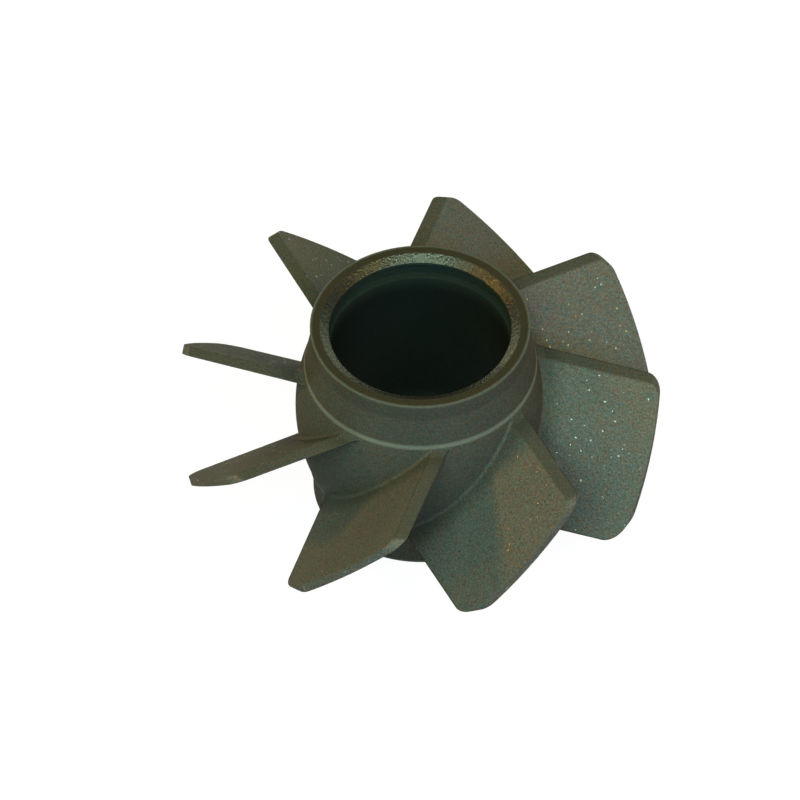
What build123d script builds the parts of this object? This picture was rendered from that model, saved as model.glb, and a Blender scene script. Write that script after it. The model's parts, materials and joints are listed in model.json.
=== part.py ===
"""One-piece axial pump impeller: a hollow hub with eight flat slanted blades. Millimetres, +Z up.

Origin: centre of the hub's flat bottom rim. The +X axis is where the first blade crosses mid-height.
"""

import os
from math import cos, hypot, radians, sin, tan

from build123d import *

# Bore through the hub, with a bevelled mouth and an inner groove at each end
bore_radius = 23.3
mouth_clearance = 0.3
bevel_width = 2.3
bevel_depth = 1.3
lip_thickness = 0.9
groove_depth = 1.7
groove_width = 4.4

# Hub, the same at both ends: a narrow collar flares out to a swelling body that carries the blades
hub_height = 60.0
body_wall = 6.8
body_swell = 2.6
collar_step = 1.6
collar_length = 5.2
flare_length = 8.5

# Blades
blade_count = 8
blade_pitch_deg = 45.0
tip_radius = 62.5
blade_root_thickness = 2.55
blade_tip_thickness = 2.25
blade_offset = 0.8
blade_end_margin = 1.2
root_bevel = 0.6
upper_corner_radius = 3.3
lower_corner_radius = 4.7

# How far the raw blades run past the finished outline before they are trimmed
trim_allowance = 1.0

mouth_radius = bore_radius + mouth_clearance
groove_radius = bore_radius + groove_depth
body_radius = bore_radius + body_wall
collar_radius = body_radius - collar_step
mid_height = hub_height / 2
blade_height = hub_height - 2 * (collar_length + flare_length + blade_end_margin)
raw_height = blade_height + 2 * trim_allowance


def end_to_end(points):
    """Points of the upper half, as radius and height, followed by the same upside down."""
    lower = [(r, hub_height - z) for r, z in reversed(points)]
    return points + lower


def hub():
    """The turned hub without its bore: both collars, their flares and the swelling body."""
    flare_top = hub_height - collar_length
    flare_bottom = flare_top - flare_length
    upper = [
        (0, 0, hub_height),
        (collar_radius, 0, hub_height),
        (collar_radius, 0, flare_top),
        (body_radius, 0, flare_bottom),
    ]
    lower = [(r, 0, hub_height - z) for r, _, z in reversed(upper)]
    swell = ThreePointArc(upper[-1], (body_radius + body_swell, 0, mid_height), lower[0])
    section = make_face([Polyline(*upper), swell, Polyline(*lower), Line(lower[-1], upper[0])])
    return revolve(section, Axis.Z)


def bore():
    """All that is cut out of the hub: bevelled mouths, grooves behind their lips, and the bore."""
    bevel_end = hub_height - bevel_depth
    groove_top = bevel_end - lip_thickness
    groove_bottom = groove_top - groove_width
    outline = [
        (0, hub_height),
        (mouth_radius + bevel_width, hub_height),
        (mouth_radius, bevel_end),
        (mouth_radius, groove_top),
        (groove_radius, groove_top),
        (groove_radius, groove_bottom),
        (bore_radius, groove_bottom),
    ]
    section = make_face(Polyline(*[(r, 0, z) for r, z in end_to_end(outline)], close=True))
    return revolve(section, Axis.Z)


def raw_blade():
    """A flat plate that thins evenly outwards: its level footprint, swept up along the slant."""
    slant = radians(blade_pitch_deg)
    taper = (blade_root_thickness - blade_tip_thickness) / (tip_radius - body_radius)
    outer_end = tip_radius + trim_allowance
    inner_half = (blade_root_thickness + taper * body_radius) / cos(slant) / 2
    outer_half = (blade_tip_thickness - taper * trim_allowance) / cos(slant) / 2
    foot_middle = -raw_height * tan(slant) / 2 - blade_offset
    foot_level = mid_height - raw_height / 2
    foot = [
        (0, foot_middle - inner_half),
        (outer_end, foot_middle - outer_half),
        (outer_end, foot_middle + outer_half),
        (0, foot_middle + inner_half),
    ]
    footprint = make_face(Polyline(*[(x, y, foot_level) for x, y in foot], close=True))
    return extrude(footprint, raw_height / cos(slant), dir=(0, sin(slant), cos(slant)))


def is_root(edge):
    """Whether an edge of the raw star climbs the foot of a blade, where the blade meets the hub."""
    radius = hypot(edge.center().X, edge.center().Y)
    return edge.bounding_box().size.Z > root_bevel and radius < body_radius + body_swell + root_bevel


def raw_star():
    """The hub's body and raw blades in one piece, with both sides of every root bevelled."""
    core = hub() & Pos(0, 0, mid_height) * Cylinder(tip_radius, raw_height)
    star = core + [Rot(0, 0, 360 / blade_count * i) * raw_blade() for i in range(blade_count)]
    return chamfer(star.edges().filter_by(is_root), root_bevel)


def blade_envelope():
    """Turned outline that trims the blades: level ends, a round outside and rounded tip corners."""
    disc = Pos(0, 0, mid_height) * Cylinder(tip_radius, blade_height)
    rims = disc.edges().filter_by(GeomType.CIRCLE).sort_by(Axis.Z)
    disc = fillet(rims[-1], upper_corner_radius)
    rims = disc.edges().filter_by(GeomType.CIRCLE).sort_by(Axis.Z)
    return fillet(rims[0], lower_corner_radius)


def impeller():
    """The finished casting: hub and blades, bored through."""
    blades = raw_star() & blade_envelope()
    return hub() + blades - bore()


os.makedirs("parts", exist_ok=True)
part = impeller()
part.label = "impeller"
export_step(part, "parts/impeller.step")
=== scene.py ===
"""Cast pump impeller: finish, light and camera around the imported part. Metres, in the part's own frame."""

import json
import math

import bpy
from mathutils import Matrix, Vector


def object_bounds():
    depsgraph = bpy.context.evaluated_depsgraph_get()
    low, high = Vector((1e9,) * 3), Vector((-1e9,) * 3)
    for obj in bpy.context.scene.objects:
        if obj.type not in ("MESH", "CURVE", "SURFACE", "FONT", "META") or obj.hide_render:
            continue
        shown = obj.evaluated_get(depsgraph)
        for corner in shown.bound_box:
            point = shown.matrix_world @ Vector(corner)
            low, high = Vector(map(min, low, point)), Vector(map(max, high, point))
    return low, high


MM = 0.001

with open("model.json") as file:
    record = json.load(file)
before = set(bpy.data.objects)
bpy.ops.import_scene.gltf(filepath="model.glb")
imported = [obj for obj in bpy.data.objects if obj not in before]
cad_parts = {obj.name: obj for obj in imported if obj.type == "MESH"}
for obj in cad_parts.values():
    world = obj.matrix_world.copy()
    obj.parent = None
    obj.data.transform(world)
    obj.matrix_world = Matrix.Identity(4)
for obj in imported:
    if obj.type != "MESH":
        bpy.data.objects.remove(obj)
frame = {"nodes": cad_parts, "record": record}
cad_low, cad_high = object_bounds()
impeller = frame["nodes"]["impeller"]
bore = next(m for m in frame["record"]["mounts"] if m["name"] == "hub_bore")
bore_radius = bore["dims"]["r_mm"] * MM
top = cad_high.z
middle = top / 2

# Forms that the finish follows, as radii from the hub's axis
mouth_radius = bore_radius + 2.6 * MM
rim_radius = bore_radius + 3.6 * MM
collar_radius = bore_radius + 5.2 * MM
crease_radius = bore_radius + 6.8 * MM
body_radius = bore_radius + 9.4 * MM

# The same forms, as depths from the nearer end of the hub
MOUTH_DEPTH = 1.3 * MM
CREASE_DEPTH = 13.7 * MM
BLADE_DEPTH = 14.9 * MM
# Not a form: how deep the bore wall's painted light reaches before its painted shade takes over
PAINTED_LIGHT_DEPTH = 12 * MM

# Spot sizes of the blasted surface, how deep it is, and how far its edges are rounded
CLOUD_SIZE = 11 * MM
BLOTCH_SIZE = 1.5 * MM
TINT_SIZE = 1.3 * MM
BUMP_SIZE = 0.9 * MM
PIT_SIZE = 0.6 * MM
GRAIN_SIZE = 0.45 * MM
GLINT_SPACING = 0.75 * MM
RELIEF_DEPTH = 0.15 * MM
EDGE_ROUNDING = 0.45 * MM

# Camera: where the rim's centre falls in the square picture, and from how far and what side it is seen
PICTURE_PIXELS = 800
FOCAL_PIXELS = 8600
SENSOR_MM = 36
RIM_PIXEL = (420.12, 325.71)
CAMERA_DISTANCE = 2.220
CAMERA_AZIMUTH = 19.15
CAMERA_ELEVATION = 47.58
CAMERA_ROLL = 0.7
NEAREST_SEEN = 0.05
FARTHEST_SEEN = 50

# Softboxes: name, azimuth from the camera's side, elevation, distance, size, power and colour
SOFTBOXES = (
    ("front_left", -14, 50, 1.6, 0.9, 13, (0.70, 1.0, 0.80)),
    ("front_right", 28, 34, 1.6, 0.6, 7.8, (0.15, 0.35, 1.0)),
    ("side_right", 55, 46, 1.6, 0.6, 5.4, (1.0, 0.72, 0.12)),
    ("key", -92, 40, 1.3, 0.2, 3.3, (1.0, 0.5, 0.1)),
    ("left", -62, 33, 1.3, 0.2, 1.4, (1.0, 0.4, 0.1)),
    ("right", 80, 24, 1.3, 0.5, 2, (1.0, 0.4, 0.1)),
    ("high", -3, 74, 1.6, 0.16, 2.4, (0.7, 0.9, 1.0)),
    ("back", 150, 4, 1.5, 0.8, 3, (0.95, 1.0, 0.85)),
    ("back_left", -150, 6, 1.5, 0.6, 2.4, (1.0, 0.95, 0.75)),
)

# Floor and sky
FLOOR_SIZE = 6.0
FLOOR_GREY = (0.14, 0.14, 0.14, 1)
FLOOR_GLOW = 0.95
SKY_COLOUR = (0.9, 1.0, 0.97, 1)
SKY_STRENGTH = 0.03
WHITE = (1, 1, 1, 1)


def srgb(r, g, b):
    """Linear colour, with alpha, from 8-bit display values."""
    def linear(v):
        v /= 255
        return v / 12.92 if v <= 0.04045 else ((v + 0.055) / 1.055) ** 2.4
    return (linear(r), linear(g), linear(b), 1.0)


# Colours of the casting; some are painted highlights and painted shade
OLIVE = srgb(104, 108, 90)
GREY_OLIVE = srgb(108, 116, 101)
BLOTCH = srgb(116, 117, 100)
RUST_TINT = srgb(120, 106, 90)
GREEN_TINT = srgb(90, 116, 110)
GRAIN = srgb(140, 146, 132)
PIT = srgb(74, 78, 62)
# Painted shade on the hub body, fading out along the blades' roots
PAINTED_HUB_SHADE = srgb(60, 66, 52)
# Lighter along the blades' rounded edges
PALE_EDGE = srgb(140, 143, 126)
# Painted shade on the blades' level end faces
BLADE_END_PAINTED_SHADE = srgb(70, 70, 54)
# Painted highlight, for the crease line and the collar's outer top edge
PAINTED_HIGHLIGHT = srgb(165, 178, 155)
# Dark brown on the top rim
RIM_BROWN = srgb(66, 62, 42)
TURNED_MOUTH = srgb(98, 102, 88)
# Painted shade deep in the bore, and painted light near its mouth
BORE_PAINTED_SHADE = srgb(28, 37, 31)
BORE_PAINTED_LIGHT = srgb(54, 70, 60)
GLINT = srgb(136, 140, 130)


class Nodes:
    """A short way to write a node tree: each call adds a node and sets or links its inputs."""

    def __init__(self, tree):
        self.tree = tree
        tree.nodes.clear()

    def add(self, kind, inputs=(), **settings):
        node = self.tree.nodes.new("ShaderNode" + kind)
        for name, value in settings.items():
            setattr(node, name, value)
        for key, value in dict(inputs).items():
            if isinstance(value, bpy.types.NodeSocket):
                self.tree.links.new(value, node.inputs[key])
            else:
                node.inputs[key].default_value = value
        return node

    def math(self, operation, a, b=0.0):
        return self.add("Math", {0: a, 1: b}, operation=operation).outputs[0]

    def times(self, a, b):
        return self.math("MULTIPLY", a, b)

    def vector(self, operation, inputs):
        return self.add("VectorMath", inputs, operation=operation).outputs

    def mix(self, factor, a, b):
        """Colour a, turning into b as the factor goes from 0 to 1."""
        return self.add("Mix", {0: factor, 6: a, 7: b}, data_type="RGBA").outputs[2]

    def step(self, value, low, high):
        """0 below low, 1 above high, smooth in between; low may be the larger, which turns it round."""
        turned = low > high
        ends = (high, low) if turned else (low, high)
        inputs = {0: value, 1: ends[0], 2: ends[1], 3: float(turned), 4: float(not turned)}
        return self.add("MapRange", inputs, interpolation_type="SMOOTHSTEP").outputs[0]

    def above(self, value, edge, fade):
        """1 from edge + fade upwards, fading to 0 at the edge."""
        return self.step(value, edge, edge + fade)

    def below(self, value, edge, fade):
        """1 up to the edge, fading to 0 at edge + fade."""
        return self.step(value, edge + fade, edge)

    def band(self, value, centre, half, fade):
        """1 within half of the centre, fading to 0 on both sides."""
        off = self.math("ABSOLUTE", self.math("SUBTRACT", value, centre))
        return self.below(off, half, fade)


class Casting(Nodes):
    """The casting's node tree, with the radius from the hub's axis and the depth from its nearer end."""

    def __init__(self, tree):
        super().__init__(tree)
        self.place = self.add("TexCoord").outputs["Object"]
        x, y, z = self.add("SeparateXYZ", {0: self.place}).outputs
        self.radius = self.math("SQRT", self.math("ADD", self.times(x, x), self.times(y, y)))
        self.depth = self.math("MINIMUM", z, self.math("SUBTRACT", top, z))

    def noise(self, size, detail, rough=0.5):
        """Outputs of a noise with spots of about that size: its value, then its colour."""
        inputs = {"Vector": self.place, "Scale": 1 / size, "Detail": detail, "Roughness": rough}
        return self.add("TexNoise", inputs).outputs


def hub_zones(n):
    """Where the hub's colour differs, as masks from 0 to 1; the crease and collar edge carry painted
    highlights, the body painted shade.
    """
    mouth_reach = n.below(n.radius, mouth_radius - 0.05 * MM, 0.2 * MM)
    bore_reach = n.below(n.radius, mouth_radius - 0.2 * MM, 0.2 * MM)
    rim_reach = n.band(n.radius, rim_radius, 0.8 * MM, 0.3 * MM)
    # The collar's outer top edge and the crease get a painted highlight
    collar_edge_highlight_reach = n.above(n.radius, collar_radius - 0.5 * MM, 0.3 * MM)
    ridge_highlight_reach = n.below(n.radius, crease_radius + 0.4 * MM, 0.5 * MM)
    return {
        "mouth": n.times(mouth_reach, n.below(n.depth, MOUTH_DEPTH, 0.15 * MM)),
        "bore": n.times(bore_reach, n.above(n.depth, MOUTH_DEPTH, 0.15 * MM)),
        "rim": n.times(rim_reach, n.below(n.depth, 0.2 * MM, 0.7 * MM)),
        # Painted highlights on the collar's outer top edge and along the crease
        "collar_edge_highlight": n.times(collar_edge_highlight_reach, n.below(n.depth, 0.4 * MM, 0.4 * MM)),
        "ridge_highlight": n.times(ridge_highlight_reach, n.band(n.depth, CREASE_DEPTH, 0.2 * MM, 0.8 * MM)),
        # Painted shade on the hub body and the blades' roots
        "painted_shade": n.below(n.radius, body_radius + 0.3 * MM, 6 * MM),
    }


def blade_zones(n, rounded):
    """Where the blades' colour differs: painted shade on their level ends, and paler edges where the
    rounding bends the normal.
    """
    flat = n.add("NewGeometry").outputs["Normal"]
    agreement = n.vector("DOT_PRODUCT", {0: rounded, 1: flat})["Value"]
    ends_reach = n.above(n.radius, body_radius - 0.7 * MM, 1.0 * MM)
    pale_edge_reach = n.above(n.radius, body_radius + 0.8 * MM, 2.0 * MM)
    return {
        # Painted shade on the level end faces
        "ends": n.times(ends_reach, n.band(n.depth, BLADE_DEPTH, 0.1 * MM, 0.3 * MM)),
        "pale_edges": n.times(pale_edge_reach, n.step(agreement, 0.985, 0.9)),
    }


def glint_cells(n):
    """A few cells of the blades' surface that glint: their mask, and which way each one leans."""
    cells = n.add("TexVoronoi", {"Vector": n.place, "Scale": 1 / GLINT_SPACING}, feature="F1").outputs
    chance = n.add("SeparateColor", {0: cells["Color"]}).outputs[2]
    chosen = n.times(n.step(chance, 0.955, 0.96), n.step(cells["Distance"], 0.42, 0.34))
    glint = n.times(chosen, n.above(n.radius, body_radius + 0.3 * MM, 1.0 * MM))
    lean = n.vector("SUBTRACT", {0: cells["Color"], 1: (0.5, 0.5, 0.5)})[0]
    return glint, lean


def casting_colour(n, zones, blotch, grain, glint):
    """Broad clouds under blotches, tints, grain and pits, and then the zones of the hub and blades, among
    them painted shade and painted highlights.
    """
    clouds = n.noise(CLOUD_SIZE, 3.0)[0]
    tint = n.add("SeparateColor", {0: n.noise(TINT_SIZE, 2.0, 0.6)[1]}).outputs
    pits = n.noise(PIT_SIZE, 1.0)[0]
    # The bore wall: painted light near the mouth, painted shade deeper down
    painted_bore_wall = n.mix(n.step(n.depth, PAINTED_LIGHT_DEPTH, 3 * MM), BORE_PAINTED_SHADE, BORE_PAINTED_LIGHT)
    layers = (
        (blotch, 1.0, BLOTCH),
        (n.step(tint[0], 0.35, 0.65), 1.0, RUST_TINT),
        (n.step(tint[1], 0.4, 0.7), 0.7, GREEN_TINT),
        (n.step(grain, 0.4, 0.7), 0.55, GRAIN),
        (n.step(pits, 0.45, 0.7), 0.4, PIT),
        # Painted shade on the hub body
        (zones["painted_shade"], 0.5, PAINTED_HUB_SHADE),
        (zones["pale_edges"], 0.15, PALE_EDGE),
        # Painted shade on the blades' level ends
        (zones["ends"], 0.5, BLADE_END_PAINTED_SHADE),
        # Painted highlights on the crease and the collar's outer top edge
        (zones["ridge_highlight"], 0.5, PAINTED_HIGHLIGHT),
        (zones["rim"], 0.85, RIM_BROWN),
        (zones["collar_edge_highlight"], 0.2, PAINTED_HIGHLIGHT),
        (zones["mouth"], 1.0, TURNED_MOUTH),
        (zones["bore"], 1.0, painted_bore_wall),
        (glint, 1.0, GLINT),
    )
    colour = n.mix(n.step(clouds, 0.35, 0.65), OLIVE, GREY_OLIVE)
    for mask, strength, over in layers:
        colour = n.mix(n.times(mask, strength), colour, over)
    return colour


def casting_normal(n, rounded, grain, glint, lean):
    """Rounded edges and grainy relief, with each glinting cell tilted its own way."""
    bumps = n.noise(BUMP_SIZE, 2.0, 0.6)[0]
    relief = n.math("ADD", grain, n.times(bumps, 1.2))
    inputs = {"Height": relief, "Strength": 0.6, "Distance": RELIEF_DEPTH, "Normal": rounded}
    grainy = n.add("Bump", inputs).outputs[0]
    tilt = n.vector("SCALE", {0: lean, "Scale": n.times(glint, 0.5)})[0]
    tilted = n.vector("ADD", {0: grainy, 1: tilt})[0]
    return n.vector("NORMALIZE", {0: tilted})[0]


def casting_material():
    """Blasted grey casting: cloudy olive grey, glinting grain, pale blade edges, turned mouths; painted
    highlights on crease and collar edge, painted shade on hub, blade ends and bore.
    """
    material = bpy.data.materials.new("blasted_casting")
    material.use_nodes = True
    n = Casting(material.node_tree)
    rounded = n.add("Bevel", {"Radius": EDGE_ROUNDING}, samples=6).outputs[0]
    zones = hub_zones(n) | blade_zones(n, rounded)
    blotch = n.step(n.noise(BLOTCH_SIZE, 3.0, 0.6)[0], 0.3, 0.7)
    grain = n.noise(GRAIN_SIZE, 1.0)[0]
    glint, lean = glint_cells(n)

    rough = n.math("ADD", 0.5, n.times(blotch, 0.08))
    rough = n.math("SUBTRACT", rough, n.times(glint, 0.36))
    rough = n.math("SUBTRACT", rough, n.times(zones["mouth"], 0.26))
    metal = n.math("MAXIMUM", n.times(zones["mouth"], 0.8), 0.2)
    metal = n.math("MAXIMUM", metal, n.times(glint, 0.7))
    surface = {
        "Base Color": casting_colour(n, zones, blotch, grain, glint),
        "Metallic": metal,
        "Roughness": rough,
        "Specular IOR Level": 0.0,
        "Normal": casting_normal(n, rounded, grain, glint, lean),
    }
    shader = n.add("BsdfPrincipled", surface)
    n.add("OutputMaterial", {"Surface": shader.outputs[0]})
    return material


def floor_material():
    """White to the camera, with the part's shadow on it; a plain floor to everything else."""
    material = bpy.data.materials.new("floor")
    material.use_nodes = True
    n = Nodes(material.node_tree)
    path = n.add("LightPath").outputs
    mirrored = n.math("MAXIMUM", path["Is Glossy Ray"], path["Is Transmission Ray"])
    seen = n.math("MAXIMUM", path["Is Camera Ray"], mirrored)
    lit = n.add("BsdfDiffuse", {"Color": FLOOR_GREY})
    glow = n.add("Emission", {"Color": WHITE, "Strength": FLOOR_GLOW})
    white = n.add("AddShader", {0: lit.outputs[0], 1: glow.outputs[0]})
    shader = n.add("MixShader", {0: seen, 1: lit.outputs[0], 2: white.outputs[0]})
    n.add("OutputMaterial", {"Surface": shader.outputs[0]})
    return material


def add_floor():
    """A square floor at the foot of the hub."""
    half = FLOOR_SIZE / 2
    corners = [(-half, -half, 0), (half, -half, 0), (half, half, 0), (-half, half, 0)]
    mesh = bpy.data.meshes.new("floor")
    mesh.from_pydata(corners, [], [(0, 1, 2, 3)])
    mesh.materials.append(floor_material())
    floor = bpy.data.objects.new("floor", mesh)
    bpy.context.scene.collection.objects.link(floor)


def add_world():
    """White to the camera, and a faint sky to everything else."""
    world = bpy.data.worlds.new("studio")
    bpy.context.scene.world = world
    world.use_nodes = True
    n = Nodes(world.node_tree)
    seen = n.add("LightPath").outputs["Is Camera Ray"]
    sky = n.add("Background", {"Color": SKY_COLOUR, "Strength": SKY_STRENGTH})
    white = n.add("Background", {"Color": WHITE, "Strength": 1.0})
    both = n.add("MixShader", {0: seen, 1: sky.outputs[0], 2: white.outputs[0]})
    n.add("OutputWorld", {"Surface": both.outputs[0]})


def direction(azimuth, elevation):
    """Unit vector from the part towards that azimuth and elevation; azimuth 0 is in front, at -Y."""
    a = math.radians(azimuth)
    e = math.radians(elevation)
    return Vector((math.sin(a) * math.cos(e), -math.cos(a) * math.cos(e), math.sin(e)))


def add_softbox(name, azimuth, elevation, distance, size, power, colour):
    """A soft square lamp aimed at the middle of the part, placed by its angle from the camera's side."""
    data = bpy.data.lights.new(name, "AREA")
    data.shape = "SQUARE"
    data.size = size
    data.energy = power
    data.color = colour
    lamp = bpy.data.objects.new(name, data)
    towards = direction(CAMERA_AZIMUTH + azimuth, elevation)
    lamp.location = Vector((0, 0, middle)) + towards * distance
    lamp.rotation_mode = "QUATERNION"
    lamp.rotation_quaternion = towards.to_track_quat("Z", "Y")
    bpy.context.scene.collection.objects.link(lamp)


def add_camera():
    """The camera, turned to its view and shifted so that the rim's centre falls on its pixel."""
    back = direction(CAMERA_AZIMUTH, CAMERA_ELEVATION)
    level = Vector((0, 0, 1)).cross(back).normalized()
    raised = back.cross(level)
    roll = math.radians(CAMERA_ROLL)
    right = level * math.cos(roll) - raised * math.sin(roll)
    up = level * math.sin(roll) + raised * math.cos(roll)
    metres_per_pixel = CAMERA_DISTANCE / FOCAL_PIXELS
    aside = (RIM_PIXEL[0] - PICTURE_PIXELS / 2) * metres_per_pixel
    below = (RIM_PIXEL[1] - PICTURE_PIXELS / 2) * metres_per_pixel
    place = Vector((0, 0, top)) + back * CAMERA_DISTANCE - right * aside + up * below
    axes = Matrix((right, up, back)).transposed().to_4x4()
    data = bpy.data.cameras.new("camera")
    data.sensor_width = SENSOR_MM
    data.lens = SENSOR_MM * FOCAL_PIXELS / PICTURE_PIXELS
    data.clip_start = NEAREST_SEEN
    data.clip_end = FARTHEST_SEEN
    camera = bpy.data.objects.new("camera", data)
    camera.matrix_world = Matrix.Translation(place) @ axes
    bpy.context.scene.collection.objects.link(camera)
    bpy.context.scene.camera = camera


impeller.data.materials.clear()
impeller.data.materials.append(casting_material())
add_floor()
add_world()
for softbox in SOFTBOXES:
    add_softbox(*softbox)
add_camera()
bpy.context.scene.view_settings.view_transform = "Standard"
